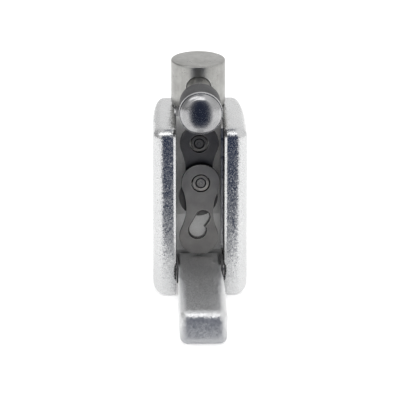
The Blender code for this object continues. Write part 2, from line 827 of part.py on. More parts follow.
def link_half(label, rivet_x, rivet_z, face_y, tilt_degrees, pin_end):
    """One half of the quick link: a flat plate and the pin riveted through its upper end."""
    origin = Vector((rivet_x, face_y, rivet_z)) * MM
    frame = bpy.data.objects.new(f"{label}_link_frame", None)
    PARTS.objects.link(frame)
    frame.matrix_world = Matrix.Translation(origin) @ Matrix.Rotation(
        math.radians(tilt_degrees), 4, "Y"
    )
    plate = prism(
        f"{label}_link_plate", link_outline(), 0.0, LINK_THICKNESS, ALONG_Y, DARK_STEEL
    )
    plate.parent = frame
    keyhole = prism(
        f"{label}_keyhole", keyhole_outline(), -1.0, LINK_THICKNESS + 1, ALONG_Y, cutter=True
    )
    keyhole.parent = frame
    combine(plate, keyhole)
    seat = bore(
        f"{label}_rivet_seat", RIVET_HOLE_RADIUS, (0, 0, 0), -1.0, LINK_THICKNESS + 1, TURN_TO_Y
    )
    seat.parent = frame
    combine(plate, seat)
    profile = [
        (0.0, pin_end),
        (LINK_PIN_RADIUS - 0.2, pin_end),
        (LINK_PIN_RADIUS, pin_end - 0.2),
        (LINK_PIN_RADIUS, LINK_THICKNESS),
        (RIVET_RADIUS, LINK_THICKNESS),
        (RIVET_RADIUS, 0.1),
        (RIVET_RADIUS - 0.15, -0.05),
        (0.0, -0.05),
    ]
    pin = turned(f"{label}_link_pin", profile, (0, 0, 0), TURN_TO_Y, DARK_STEEL)
    pin.parent = frame


link_half("front", 0.24, 25.05, FRONT + 5.0, 2.1, 5.2)
link_half("rear", -0.06, 33.9, FRONT + 6.4, 1.0, 4.4)
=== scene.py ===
"""The looks of the folding chain tool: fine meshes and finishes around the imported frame.

Lengths are in millimetres in the shape functions, and become metres when a mesh is made.
X runs to the right, Y to the back, Z up, as in the frame.
"""

import json
import math

import bmesh
import bpy
from mathutils import Matrix, Vector


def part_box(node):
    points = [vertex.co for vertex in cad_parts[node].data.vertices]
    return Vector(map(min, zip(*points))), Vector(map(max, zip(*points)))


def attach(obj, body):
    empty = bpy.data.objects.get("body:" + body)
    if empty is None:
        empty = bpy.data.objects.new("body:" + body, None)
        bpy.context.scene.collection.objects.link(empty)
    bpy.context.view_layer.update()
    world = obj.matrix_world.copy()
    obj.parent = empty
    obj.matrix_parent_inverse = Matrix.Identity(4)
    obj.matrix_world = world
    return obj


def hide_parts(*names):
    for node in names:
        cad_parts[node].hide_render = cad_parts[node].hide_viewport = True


MM = 0.001

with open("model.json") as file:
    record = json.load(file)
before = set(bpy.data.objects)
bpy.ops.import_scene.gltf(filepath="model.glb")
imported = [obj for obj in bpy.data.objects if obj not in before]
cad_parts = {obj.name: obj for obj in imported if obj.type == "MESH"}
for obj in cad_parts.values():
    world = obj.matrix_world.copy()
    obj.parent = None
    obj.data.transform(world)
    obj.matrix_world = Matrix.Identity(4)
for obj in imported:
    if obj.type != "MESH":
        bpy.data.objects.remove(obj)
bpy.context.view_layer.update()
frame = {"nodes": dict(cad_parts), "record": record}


def extent(node):
    """A CAD node's lowest and highest corners in millimetres."""
    low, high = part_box(node)
    return low / MM, high / MM


# ---------------------------------------------------------------- outlines


def arc(centre, radius, start_degrees, end_degrees, steps):
    """Points along an arc, counted from the first axis towards the second."""
    points = []
    for step in range(steps + 1):
        angle = math.radians(start_degrees + (end_degrees - start_degrees) * step / steps)
        points.append((centre[0] + radius * math.cos(angle), centre[1] + radius * math.sin(angle)))
    return points


def rounded(points, radii, closed=True, steps=4):
    """An outline whose corners become arcs. A radius of 0 keeps its corner."""
    outline = []
    count = len(points)
    if not isinstance(radii, (list, tuple)):
        radii = [radii] * count
    for index, (point, radius) in enumerate(zip(points, radii)):
        corner = Vector(point)
        is_end = not closed and index in (0, count - 1)
        if radius <= 0 or is_end:
            outline.append(tuple(corner))
            continue
        back = Vector(points[index - 1]) - corner
        ahead = Vector(points[(index + 1) % count]) - corner
        opening = back.angle(ahead)
        reach = min(radius / math.tan(opening / 2), 0.49 * back.length, 0.49 * ahead.length)
        real_radius = reach * math.tan(opening / 2)
        back.normalize()
        ahead.normalize()
        middle = (back + ahead).normalized() * (real_radius / math.sin(opening / 2))
        centre = corner + middle
        start = corner + back * reach - centre
        end = corner + ahead * reach - centre
        turn = start.angle(end)
        for step in range(steps + 1):
            share = step / steps
            arm = (
                start * math.sin((1 - share) * turn) + end * math.sin(share * turn)
            ) / math.sin(turn)
            outline.append(tuple(centre + arm))
    return outline


# ---------------------------------------------------------------- meshes

WELD_DISTANCE = 1e-4 * MM
SHARP_ANGLE = math.radians(35)
SOFTENED_ANGLE = math.radians(50)
AXIS_RADIUS = 1e-6


def add_object(name, data):
    thing = bpy.data.objects.new(name, data)
    bpy.context.scene.collection.objects.link(thing)
    return thing


def smooth(mesh):
    """Smooth shading, with the edges past the sharp angle left crisp."""
    mesh.shade_smooth()
    mesh.set_sharp_from_angle(angle=SHARP_ANGLE)


def new_piece(name, vertices, faces):
    """A closed mesh object, with its normals out and its sharp edges marked."""
    mesh = bpy.data.meshes.new(name)
    mesh.from_pydata([Vector(v) * MM for v in vertices], [], faces)
    work = bmesh.new()
    work.from_mesh(mesh)
    bmesh.ops.remove_doubles(work, verts=work.verts, dist=WELD_DISTANCE)
    bmesh.ops.dissolve_degenerate(work, edges=work.edges, dist=WELD_DISTANCE)
    bmesh.ops.recalc_face_normals(work, faces=work.faces)
    work.to_mesh(mesh)
    work.free()
    thing = add_object(name, mesh)
    smooth(mesh)
    return thing


def loft(name, rings):
    """A closed skin through rings of equal length, with a flat cap at each end."""
    count = len(rings[0])
    vertices = [vertex for ring in rings for vertex in ring]
    faces = []
    for level in range(len(rings) - 1):
        for spot in range(count):
            after = (spot + 1) % count
            low, high = level * count, (level + 1) * count
            faces.append((low + spot, low + after, high + after, high + spot))
    faces.append(tuple(reversed(range(count))))
    faces.append(tuple(range((len(rings) - 1) * count, len(rings) * count)))
    return new_piece(name, vertices, faces)


AXES = {"x": (1, 2, 0), "y": (0, 2, 1), "z": (0, 1, 2)}


def on_axis(axis, u, v, along):
    """A point from two coordinates across an axis and one along it."""
    spot = [0.0, 0.0, 0.0]
    first, second, third = AXES[axis]
    spot[first], spot[second], spot[third] = u, v, along
    return tuple(spot)


def prism(name, outline, low, high, axis):
    """An outline extruded from low to high along an axis."""
    rings = [[on_axis(axis, u, v, level) for u, v in outline] for level in (low, high)]
    return loft(name, rings)


def revolve(name, profile, axis, centre, steps=96, closed=False):
    """A turned shape from (radius, place along the axis) points, end to end."""
    vertices, faces, rows = [], [], []
    for radius, along in profile:
        row = []
        for step in range(steps if radius > AXIS_RADIUS else 1):
            angle = 2 * math.pi * step / steps
            u, v = radius * math.cos(angle), radius * math.sin(angle)
            spot = Vector(on_axis(axis, u, v, along)) + Vector(centre)
            row.append(len(vertices))
            vertices.append(tuple(spot))
        rows.append(row)
    pairs = list(zip(rows, rows[1:]))
    if closed:
        pairs.append((rows[-1], rows[0]))
    for row, after in pairs:
        for step in range(steps):
            following = (step + 1) % steps
            corners = [
                row[step % len(row)],
                row[following % len(row)],
                after[following % len(after)],
                after[step % len(after)],
            ]
            faces.append(tuple(dict.fromkeys(corners)))
    return new_piece(name, vertices, faces)


def cylinder(name, radius, start, end, axis, centre, steps):
    profile = [(0.0, start), (radius, start), (radius, end), (0.0, end)]
    return revolve(name, profile, axis, centre, steps)


def cut(piece, *cutters):
    """Takes the cutters' shapes out of the piece, and then removes them."""
    for cutter in cutters:
        boolean = piece.modifiers.new("cut", "BOOLEAN")
        boolean.operation = "DIFFERENCE"
        boolean.solver = "EXACT"
        boolean.object = cutter
    settle(piece)
    for cutter in cutters:
        bpy.data.objects.remove(cutter, do_unlink=True)


def settle(piece):
    """Applies the piece's modifiers to its mesh."""
    depsgraph = bpy.context.evaluated_depsgraph_get()
    mesh = bpy.data.meshes.new_from_object(piece.evaluated_get(depsgraph))
    piece.modifiers.clear()
    piece.data = mesh
    mesh.name = piece.name


def soften(piece, width, segments):
    """Rounds the sharp edges, and settles the shading of the flats beside them."""
    bevel = piece.modifiers.new("edges", "BEVEL")
    bevel.width = width * MM
    bevel.segments = segments
    bevel.limit_method = "ANGLE"
    bevel.angle_limit = SOFTENED_ANGLE
    bevel.use_clamp_overlap = False
    bevel.harden_normals = True
    settle(piece)
    piece.data.shade_smooth()


def finish_piece(piece, body, slot, *nodes, finish=None):
    """Gives a piece its body and material, and hides the CAD nodes it stands for.

    The material is the slot's own, unless a finish is named."""
    piece.data.materials.clear()
    piece.data.materials.append(FINISHES[finish or slot])
    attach(piece, body)
    if nodes:
        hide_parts(*nodes)


# ---------------------------------------------------------------- materials

# The sparkle's grain, in facets per metre, and how far its liveliest facets tilt.
SPARKLE_SCALE = 4800.0
SPARKLE_TILT = 0.62


class Nodes:
    """A short way to build a material's node tree.

    A noise's scale is in waves per metre, and a ramp's source runs from about 0 to 1."""

    def __init__(self, name):
        self.material = bpy.data.materials.new(name)
        self.material.use_nodes = True
        self.tree = self.material.node_tree
        self.shader = self.tree.nodes["Principled BSDF"]
        self.place = self.add("ShaderNodeTexCoord").outputs["Object"]

    def add(self, kind, **settings):
        node = self.tree.nodes.new(kind)
        for key, value in settings.items():
            setattr(node, key, value)
        return node

    def link(self, source, target):
        self.tree.links.new(source, target)

    def set(self, **values):
        for key, value in values.items():
            self.shader.inputs[key.replace("_", " ")].default_value = value

    def stretched(self, scale):
        """The object's coordinates, drawn out along the axes with a small scale."""
        mapping = self.add("ShaderNodeMapping")
        mapping.inputs["Scale"].default_value = scale
        self.link(self.place, mapping.inputs["Vector"])
        return mapping.outputs["Vector"]

    def noise(self, scale, detail=3.0, roughness=0.55, vector=None):
        node = self.add("ShaderNodeTexNoise")
        node.inputs["Scale"].default_value = scale
        node.inputs["Detail"].default_value = detail
        node.inputs["Roughness"].default_value = roughness
        self.link(vector or self.place, node.inputs["Vector"])
        return node.outputs["Fac"]

    def ramp(self, source, low, high, start=0.3, end=0.7):
        """Turns a 0 to 1 value into one between low and high."""
        node = self.add("ShaderNodeMapRange")
        node.inputs["From Min"].default_value = start
        node.inputs["From Max"].default_value = end
        node.inputs["To Min"].default_value = low
        node.inputs["To Max"].default_value = high
        self.link(source, node.inputs["Value"])
        return node.outputs["Result"]

    def blend(self, factor, first, second):
        """Mixes two colours, each a tuple or a socket."""
        node = self.add("ShaderNodeMix", data_type="RGBA")
        self.link(factor, node.inputs["Factor"])
        for socket, value in ((node.inputs[6], first), (node.inputs[7], second)):
            if isinstance(value, tuple):
                socket.default_value = (*value, 1.0)
            else:
                self.link(value, socket)
        return node.outputs[2]

    def maths(self, operation, first, second):
        node = self.add("ShaderNodeMath", operation=operation)
        for socket, value in zip(node.inputs, (first, second)):
            if isinstance(value, (int, float)):
                socket.default_value = value
            else:
                self.link(value, socket)
        return node.outputs["Value"]

    def bump(self, height, strength, distance_mm, before=None):
        node = self.add("ShaderNodeBump")
        node.inputs["Strength"].default_value = strength
        node.inputs["Distance"].default_value = distance_mm * MM
        self.link(height, node.inputs["Height"])
        if before is not None:
            self.link(before, node.inputs["Normal"])
        return node.outputs["Normal"]

    def facets(self, scale, calm, lively):
        """Turns the surface into small facets, most of them calm and a few tilted far."""
        cells = self.add("ShaderNodeTexVoronoi")
        cells.inputs["Scale"].default_value = scale
        self.link(self.place, cells.inputs["Vector"])
        centred = self.add("ShaderNodeVectorMath", operation="SUBTRACT")
        self.link(cells.outputs["Color"], centred.inputs[0])
        centred.inputs[1].default_value = (0.5, 0.5, 0.5)
        chance = self.noise(scale * 1.7, 0.0)
        lift = self.ramp(chance, 0.0, 1.0, 0.5, 0.75)
        reach = self.ramp(self.maths("POWER", lift, 2.0), calm, lively, 0.0, 1.0)
        tilt = self.add("ShaderNodeVectorMath", operation="SCALE")
        self.link(centred.outputs["Vector"], tilt.inputs[0])
        self.link(reach, tilt.inputs["Scale"])
        total = self.add("ShaderNodeVectorMath", operation="ADD")
        self.link(self.add("ShaderNodeNewGeometry").outputs["Normal"], total.inputs[0])
        self.link(tilt.outputs["Vector"], total.inputs[1])
        unit = self.add("ShaderNodeVectorMath", operation="NORMALIZE")
        self.link(total.outputs["Vector"], unit.inputs[0])
        return unit.outputs["Vector"]

    def occlusion_shade(self, distance_mm, low, high):
        """The mask of painted shade: 0 in grooves and corners and 1 in the open."""
        shade = self.add("ShaderNodeAmbientOcclusion", samples=6)
        shade.inputs["Distance"].default_value = distance_mm * MM
        return self.ramp(shade.outputs["AO"], 0.0, 1.0, low, high)

    def facing(self, axis, none, full):
        """0 to 1 as the surface's normal turns along an axis, either way, from none to full."""
        around = self.add("ShaderNodeTexCoord")
        split = self.add("ShaderNodeSeparateXYZ")
        self.link(around.outputs["Normal"], split.inputs[0])
        return self.ramp(self.maths("ABSOLUTE", split.outputs[axis], 0.0), 0.0, 1.0, none, full)

    def edge_highlight(self, radius_mm, low, high):
        """1 along the rounded edges and 0 on the flats: the mask of a painted highlight."""
        bevel = self.add("ShaderNodeBevel", samples=4)
        bevel.inputs["Radius"].default_value = radius_mm * MM
        normal = self.add("ShaderNodeNewGeometry").outputs["Normal"]
        dot = self.add("ShaderNodeVectorMath", operation="DOT_PRODUCT")
        self.link(bevel.outputs["Normal"], dot.inputs[0])
        self.link(normal, dot.inputs[1])
        bend = self.maths("SUBTRACT", 1.0, dot.outputs["Value"])
        return self.ramp(bend, 0.0, 1.0, low, high)

    def finish(self, colour, roughness, normal):
        self.link(colour, self.shader.inputs["Base Color"])
        self.link(roughness, self.shader.inputs["Roughness"])
        self.link(normal, self.shader.inputs["Normal"])
        return self.material


def blasted_aluminium(name, base, rough_low, rough_high, calm):
    """Silver anodised aluminium with a bead-blasted grain that sparkles.

    The base is its darkest grey, and calm is the tilt of its quietest facets."""
    n = Nodes(name)
    n.set(Metallic=1.0)
    coarse = n.noise(1900.0, 2.0, 0.5)
    cloud = n.noise(160.0, 2.0)
    tone = n.ramp(cloud, 0.0, 1.0)
    darkest = (base, base + 0.004, base + 0.008)
    palest = (base + 0.03, base + 0.032, base + 0.034)
    colour = n.blend(tone, darkest, palest)
    rough = n.ramp(coarse, rough_low, rough_high)
    normal = n.facets(SPARKLE_SCALE, calm, SPARKLE_TILT)
    return n.finish(colour, rough, normal)


def machined_block():
    """Satin aluminium with cutter marks, and painted shade on its top and in its corners."""
    n = Nodes("machined_block")
    n.set(Metallic=0.0)
    grain = n.noise(3600.0, 3.0)
    marks = n.noise(900.0, 2.0, 0.5, n.stretched((1.0, 1.0, 9.0)))
    colour = n.blend(n.ramp(grain, 0.0, 1.0), (0.84, 0.84, 0.835), (0.96, 0.96, 0.95))
    # Painted shade: the top and the corners are blended towards a dark grey.
    shade = n.maths("MULTIPLY", n.facing("Z", 0.95, 0.55), n.occlusion_shade(5.0, 0.1, 0.75))
    colour = n.blend(shade, (0.20, 0.20, 0.205), colour)
    rough = n.ramp(marks, 0.5, 0.68)
    normal = n.bump(grain, 0.5, 0.04)
    return n.finish(colour, rough, normal)


def turned_steel():
    """Nickel-grey turned steel with fine lathe lines, a few stains and a painted highlight on its
    rims.
    """
    n = Nodes("turned_steel")
    n.set(Metallic=1.0)
    streaks = n.noise(1500.0, 4.0, 0.65, n.stretched((1.0, 1.0, 0.07)))
    specks = n.ramp(n.noise(2300.0, 2.0, 0.5), 1.0, 0.0, 0.24, 0.30)
    # Painted highlight: the rounded rims are blended towards pale grey.
    rim = n.edge_highlight(0.25, 0.01, 0.12)
    lines = n.noise(700.0, 3.0, 0.6, n.stretched((0.6, 0.6, 14.0)))
    stain = n.noise(420.0, 4.0, 0.6)
    pits = n.noise(2600.0, 1.0)
    tone = n.maths("MULTIPLY", n.ramp(stain, 0.2, 1.0), n.ramp(streaks, 0.55, 1.0, 0.3, 0.65))
    colour = n.blend(tone, (0.27, 0.268, 0.256), (0.44, 0.437, 0.422))
    colour = n.blend(specks, colour, (0.10, 0.098, 0.09))
    colour = n.blend(rim, colour, (0.85, 0.85, 0.84))
    rough = n.ramp(lines, 0.26, 0.38)
    normal = n.bump(lines, 0.25, 0.01)
    normal = n.bump(pits, 0.15, 0.015, normal)
    return n.finish(colour, rough, normal)


def polished_steel():
    """Polished steel with faint hairlines."""
    n = Nodes("polished_steel")
    n.set(Metallic=1.0)
    hair = n.noise(1500.0, 4.0, 0.7, n.stretched((1.0, 0.4, 6.0)))
    smear = n.noise(260.0, 2.0)
    colour = n.blend(n.ramp(smear, 0.0, 1.0), (0.31, 0.31, 0.315), (0.42, 0.42, 0.425))
    rough = n.ramp(hair, 0.17, 0.27)
    normal = n.bump(hair, 0.12, 0.004)
    return n.finish(colour, rough, normal)


def dark_steel(name, depth):
    """Black-oxide steel with paler edges, a painted highlight broken up by the grain, and painted
    shade in its hollows.

    A depth of 1 is the plain oxide, and less darkens it all over with painted shade."""
    n = Nodes(name)
    n.set(Metallic=1.0)
    grain = n.noise(3200.0, 3.0)
    cloud = n.noise(380.0, 3.0)
    flat = n.blend(n.ramp(cloud, 0.0, 1.0), (0.30, 0.288, 0.272), (0.38, 0.365, 0.345))
    # Painted highlight: the rounded edges are blended towards pale grey, broken up by the grain.
    highlight_amount = n.maths("MULTIPLY", n.edge_highlight(0.2, 0.01, 0.12), n.ramp(grain, 0.5, 0.95))
    highlighted = n.blend(highlight_amount, flat, (0.85, 0.85, 0.83))
    # Painted shade: grooves, corners, the keyhole's recess and the side walls are blended towards near
    # black.
    unshaded = n.maths("MULTIPLY", n.occlusion_shade(0.8, 0.6, 0.93), n.occlusion_shade(2.5, 0.05, 0.72))
    unshaded = n.maths("MULTIPLY", unshaded, n.facing("Y", 0.1, 0.5))
    colour = n.blend(n.maths("MULTIPLY", unshaded, depth), (0.015, 0.015, 0.016), highlighted)
    rough = n.ramp(grain, 0.34, 0.48)
    normal = n.bump(grain, 0.25, 0.02)
    return n.finish(colour, rough, normal)


def hardened_steel():
    """Ground tool steel with fine lines across it."""
    n = Nodes("hardened_steel")
    n.set(Metallic=1.0)
    lines = n.noise(900.0, 3.0, 0.6, n.stretched((1.0, 8.0, 1.0)))
    cloud = n.noise(300.0, 2.0)
    colour = n.blend(n.ramp(cloud, 0.0, 1.0), (0.34, 0.34, 0.35), (0.46, 0.455, 0.45))
    rough = n.ramp(lines, 0.24, 0.4)
    normal = n.bump(lines, 0.3, 0.01)
    return n.finish(colour, rough, normal)


def magnet_plating():
    """Bright nickel over a sintered magnet."""
    n = Nodes("magnet_plating")
    n.set(Metallic=1.0)
    ripple = n.noise(1400.0, 2.0)
    colour = n.blend(n.ramp(ripple, 0.0, 1.0), (0.62, 0.61, 0.57), (0.74, 0.73, 0.70))
    rough = n.ramp(ripple, 0.16, 0.28)
    normal = n.bump(ripple, 0.25, 0.02)
    return n.finish(colour, rough, normal)


def grey_sleeve():
    """Moulded dark grey plastic with a fine spark-eroded texture."""
    n = Nodes("grey_sleeve")
    n.set(Metallic=0.0)
    grain = n.noise(3800.0, 3.0)
    cloud = n.noise(300.0, 2.0)
    colour = n.blend(n.ramp(cloud, 0.0, 1.0), (0.030, 0.030, 0.032), (0.048, 0.048, 0.050))
    rough = n.ramp(grain, 0.55, 0.75)
    normal = n.bump(grain, 0.35, 0.02)
    return n.finish(colour, rough, normal)


FINISHES = {
    "blasted_aluminium": blasted_aluminium("blasted_aluminium", 0.60, 0.20, 0.30, 0.12),
    "blasted_handle": blasted_aluminium("blasted_handle", 0.70, 0.36, 0.46, 0.28),
    "machined_block": machined_block(),
    "turned_steel": turned_steel(),
    "polished_steel": polished_steel(),
    "dark_steel": dark_steel("dark_steel", 1.0),
    # The rear half's copy, darker by painted shade.
    "dark_steel_shaded": dark_steel("dark_steel_shaded", 0.5),
    "hardened_steel": hardened_steel(),
    "magnet_plating": magnet_plating(),
    "grey_sleeve": grey_sleeve(),
}
NODE_SLOTS = {part["node"]: part["material_slot"] for part in frame["record"]["subparts"]}


def dress_cad_nodes():
    """Gives every CAD node that stays its own finish."""
    for name, node in frame["nodes"].items():
        node.data.materials.clear()
        node.data.materials.append(FINISHES[NODE_SLOTS[name]])


# ---------------------------------------------------------------- side plates

SLOT_HALF = 5.4
CORNER_FILLET = 2.6
TOP_FILLET = 2.3
LOWER_FILLET = 2.8
REAR_FILLET = 1.9
BASE_FILLET = 0.9
SIDE_CROWN = 2.4
CROWN_STEPS = 22

# The front corner's fillet tightens as the edges above and below it draw in.
CORNER_TIGHTENING = 0.7
SMALLEST_CORNER = 0.12

# The slot's edges: their fillet at the top, bottom and rear, and their chamfer at the front.
# The chamfer eases, across and along, into the slot's wall and into the front.
SLOT_EDGE = 0.5
CHAMFER_WIDTH = 0.5
CHAMFER_DEPTH = 0.3
WALL_EASE = (0.04, 0.12)
FRONT_EASE = (0.1, 0.03)

# The plates stand in a little where they clamp the block, so that no gap shows beside it.
BLOCK_SEAT = 0.2
BLOCK_SEAT_START = 15.5

# The plates' rings: the least height between two, and the steps between the rounded edges.
SMALLEST_STEP = 0.02
PLAIN_STEPS = 7

# What is cut into the plates. Its places are (behind the front edge, height).
WINDOW_START = 14.4
WINDOW_FOOT = 13.7
WINDOW_TOP = 21.8
WINDOW_CORNER = 0.8
PIVOT_SPOT = (2.5, 5.6)
PIVOT_BORE = 1.6
DOWEL_SPOT = (12.9, 10.6)
DOWEL_BORE = 1.1
BOLT_BORE = 1.4
HEAD_SEAT_RADIUS = 2.6
HEAD_SEAT_BORE = 1.45

# Each bolt's place, with the side its head is on.
BOLTS = (((13.55, 29.6), 1), ((12.6, 5.0), -1))

# Distances from the middle: a cut starts short of the slot's wall, a blind bore and a bolt
# head's seat end inside the plate, and a cut from outside starts past the plate.
CUT_START = SLOT_HALF - 1
HEAD_SEAT_END = 7.9
BORE_END = 8.5
PAST_OUTSIDE = 12.0
PAST_REAR = 2


def inset_at(height, top, lower_radius, upper_radius):
    """How far a rounded edge has drawn in at a height between its lower and upper ends."""
    for from_end, radius in ((height, lower_radius), (top - height, upper_radius)):
        if from_end < radius:
            return radius - math.sqrt(max(radius**2 - (radius - from_end) ** 2, 0.0))
    return 0.0


def plate_ring(side, height, low, high):
    """The plate's outline at one height, seen from above."""
    top = high.z
    front_inset = inset_at(height, top, BASE_FILLET, TOP_FILLET)
    rear_inset = inset_at(height, top, REAR_FILLET, REAR_FILLET)
    outer_inset = inset_at(height, top, LOWER_FILLET, TOP_FILLET)
    half_width = max(abs(low.x), abs(high.x))
    wall = SLOT_HALF + inset_at(height, top, SLOT_EDGE, SLOT_EDGE)
    outer = half_width - outer_inset
    front = low.y + front_inset
    rear = high.y - rear_inset
    points = [
        (wall, front + CHAMFER_DEPTH + WALL_EASE[1]),
        (wall + WALL_EASE[0], front + CHAMFER_DEPTH),
        (wall + CHAMFER_WIDTH, front + FRONT_EASE[1]),
        (wall + CHAMFER_WIDTH + FRONT_EASE[0], front),
    ]
    tightened = CORNER_FILLET - CORNER_TIGHTENING * max(front_inset, outer_inset)
    corner_radius = max(tightened, SMALLEST_CORNER)
    points += arc((outer - corner_radius, front + corner_radius), corner_radius, -90, 0, 12)
    start = front + corner_radius
    for step in range(1, CROWN_STEPS + 1):
        share = 1 - (1 - step / CROWN_STEPS) ** 2
        drop = SIDE_CROWN * (1 - math.sqrt(max(1 - share**3, 0.0)))
        points.append((half_width - math.hypot(outer_inset, drop), start + (rear - start) * share))
    seat = wall - BLOCK_SEAT
    points += arc((seat + SLOT_EDGE, rear - SLOT_EDGE), SLOT_EDGE, 90, 180, 5)
    points += [(seat, front + BLOCK_SEAT_START), (wall, front + BLOCK_SEAT_START)]
    return [(side * x, y, height) for x, y in points]


def plate_heights(top):
    """Heights close together where the edges are rounded, and a few between."""
    heights = {0.0, top}
    for radius, steps in ((SLOT_EDGE, 4), (BASE_FILLET, 6), (TOP_FILLET, 12), (LOWER_FILLET, 12)):
        for step in range(1, steps + 1):
            rise = radius * (1 - math.cos(math.pi / 2 * step / steps))
            heights.add(round(rise, 4))
            if radius != LOWER_FILLET:
                heights.add(round(top - rise, 4))
    plain = top - TOP_FILLET - LOWER_FILLET
    for step in range(1, PLAIN_STEPS):
        heights.add(LOWER_FILLET + plain * step / PLAIN_STEPS)
    spaced = []
    for height in sorted(heights):
        if not spaced or height - spaced[-1] > SMALLEST_STEP or height == top:
            spaced.append(height)
    return spaced


def blind_bore(radius, centre, side):
    """A hole into a plate from the slot."""
    return cylinder("bore", radius, side * CUT_START, side * BORE_END, "x", centre, 48)


def counterbore(centre, side):
    """A bolt hole with the seat for a sunk head, from the outside of a plate."""
    profile = [
        (0.0, side * PAST_OUTSIDE),
        (HEAD_SEAT_RADIUS, side * PAST_OUTSIDE),
        (HEAD_SEAT_RADIUS, side * HEAD_SEAT_END),
        (HEAD_SEAT_BORE, side * HEAD_SEAT_END),
        (HEAD_SEAT_BORE, side * CUT_START),
        (0.0, side * CUT_START),
    ]
    return revolve("counterbore", profile, "x", centre, 64)


def chain_window(front, rear, side):
    """The opening at the back through which the chain lies in its cradle."""
    outline = rounded(
        [(front, WINDOW_FOOT), (rear, WINDOW_FOOT), (rear, WINDOW_TOP), (front, WINDOW_TOP)],
        [WINDOW_CORNER, 0, 0, WINDOW_CORNER],
    )
    inner, outer = sorted((side * CUT_START, side * PAST_OUTSIDE))
    return prism("window", outline, inner, outer, "x")


def side_plate(name, side):
    low, high = extent(name)
    rings = [plate_ring(side, z, low, high) for z in plate_heights(high.z)]
    plate = loft(name + "_shell", rings)
    cutters = [chain_window(low.y + WINDOW_START, high.y + PAST_REAR, side)]
    for (behind, height), radius in ((PIVOT_SPOT, PIVOT_BORE), (DOWEL_SPOT, DOWEL_BORE)):
        cutters.append(blind_bore(radius, (0.0, low.y + behind, height), side))
    for (behind, height), head_side in BOLTS:
        centre = (0.0, low.y + behind, height)
        if head_side == side:
            cutters.append(counterbore(centre, side))
        else:
            cutters.append(blind_bore(BOLT_BORE, centre, side))
    cut(plate, *cutters)
    smooth(plate.data)
    finish_piece(plate, "body", "blasted_aluminium", name)


# ---------------------------------------------------------------- folding handle

HANDLE_FILLET = 1.7
HANDLE_END_FILLET = 2.0
TANG_FILLET = 0.45

# The tang is off the middle of the handle, and its end is round about the pivot's eye.
TANG_RADIUS = 5.0
TANG_LEFT = 4.75
TANG_RIGHT = 4.3
EYE_HEIGHT = 5.6
EYE_BORE = 1.6
EYE_REACH = 8.0

# Distances behind the handle's front end: the taper into the tang, and the eye.
TAPER_START = 16.2
TAPER_END = 32.2
EYE_DEPTH = 32.7

# The underside rises a little over a short heel before the eye.
HEEL_LENGTH = 3.0
HEEL_RISE = 0.6

# The fillet shrinks to the tang's early in the taper, and at the front end by half as much
# as the end draws in. It stays under half of the handle's height.
SLIMMING_RATE = 3.0
END_TIGHTENING = 0.5
LARGEST_FILLET_SHARE = 0.45
SMALLEST_FILLET = 0.05
LAST_RING_GAP = 0.02


def handle_ring(low, high, depth):
    """The handle's section at a depth behind its front end, a rounded rectangle."""
    share = min(max((depth - TAPER_START) / (TAPER_END - TAPER_START), 0.0), 1.0)
    full = high.x
    ease = share * share * (3 - 2 * share)
    left = full + (TANG_LEFT - full) * ease
    right = full + (TANG_RIGHT - full) * ease
    bottom, top = low.z, high.z
    if depth < HANDLE_END_FILLET:
        short = HANDLE_END_FILLET - depth
        inset = HANDLE_END_FILLET - math.sqrt(HANDLE_END_FILLET**2 - short**2)
        left -= inset
        right -= inset
        bottom += inset
        top -= inset
    slim = min(SLIMMING_RATE * ease, 1.0)
    radius = HANDLE_FILLET + (TANG_FILLET - HANDLE_FILLET) * slim
    radius -= (high.z - top) * END_TIGHTENING
    behind = depth - EYE_DEPTH
    if behind > -HEEL_LENGTH:
        bottom = HEEL_RISE * min((behind + HEEL_LENGTH) / HEEL_LENGTH, 1.0)
    if behind > 0:
        rise = math.sqrt(max(TANG_RADIUS**2 - behind**2, 0.0))
        bottom = EYE_HEIGHT - rise
        top = min(top, EYE_HEIGHT + rise)
    radius = max(min(radius, (top - bottom) * LARGEST_FILLET_SHARE), SMALLEST_FILLET)
    corners = [(right, bottom), (right, top), (-left, top), (-left, bottom)]
    outline = rounded(corners, radius, steps=8)
    return [(u, low.y + depth, v) for u, v in outline]


def folding_handle():
    low, high = extent("folding_handle")
    heel_start = EYE_DEPTH - HEEL_LENGTH
    depths = [HANDLE_END_FILLET * (1 - math.cos(math.pi / 2 * n / 10)) for n in range(11)]
    depths += [3.0, 6.0, 10.0, 14.0]
    depths += [TAPER_START + (TAPER_END - TAPER_START) * n / 16 for n in range(17)]
    depths = [d for d in depths if d < heel_start]
    depths += [heel_start, EYE_DEPTH - HEEL_LENGTH / 2, EYE_DEPTH]
    depths += [EYE_DEPTH + TANG_RADIUS * math.sin(math.radians(a)) for a in range(6, 85, 6)]
    depths.append(high.y - low.y - LAST_RING_GAP)
    handle = loft("folding_handle_shell", [handle_ring(low, high, d) for d in depths])
    centre = (0.0, low.y + EYE_DEPTH, EYE_HEIGHT)
    cut(handle, cylinder("eye", EYE_BORE, -EYE_REACH, EYE_REACH, "x", centre, 48))
    smooth(handle.data)
    finish_piece(
        handle, "handle", "blasted_aluminium", "folding_handle", finish="blasted_handle"
    )


# ---------------------------------------------------------------- drive screw

HEAD_HEIGHT = 10.2
HEAD_EDGE = 0.35
HOLE_EDGE = 0.12
BAR_HOLE = 2.78
HOLE_REACH = 8.0

# The head carries a short plain neck, and the threaded shank starts inside it.
NECK_LENGTH = 0.7
NECK_FILLET = 0.15
SHANK_START = 0.5

THREAD_PITCH = 1.0
THREAD_RADIUS = 3.4
THREAD_ROOT = 2.85
THREAD_RUNOUT = 0.8
THREAD_SPOTS = 64
LEVELS_PER_PITCH = 12

# A thread's profile is a ramp up and down, which is cut off flat at its crest.
CREST_HEIGHT = 1.25
CREST_SLOPE = 3.6

# The press pin's pocket in the end of the shank.
POCKET_MOUTH = 1.75
POCKET_RADIUS = 1.7
POCKET_LIP = 0.1
POCKET_DEPTH = 7.8


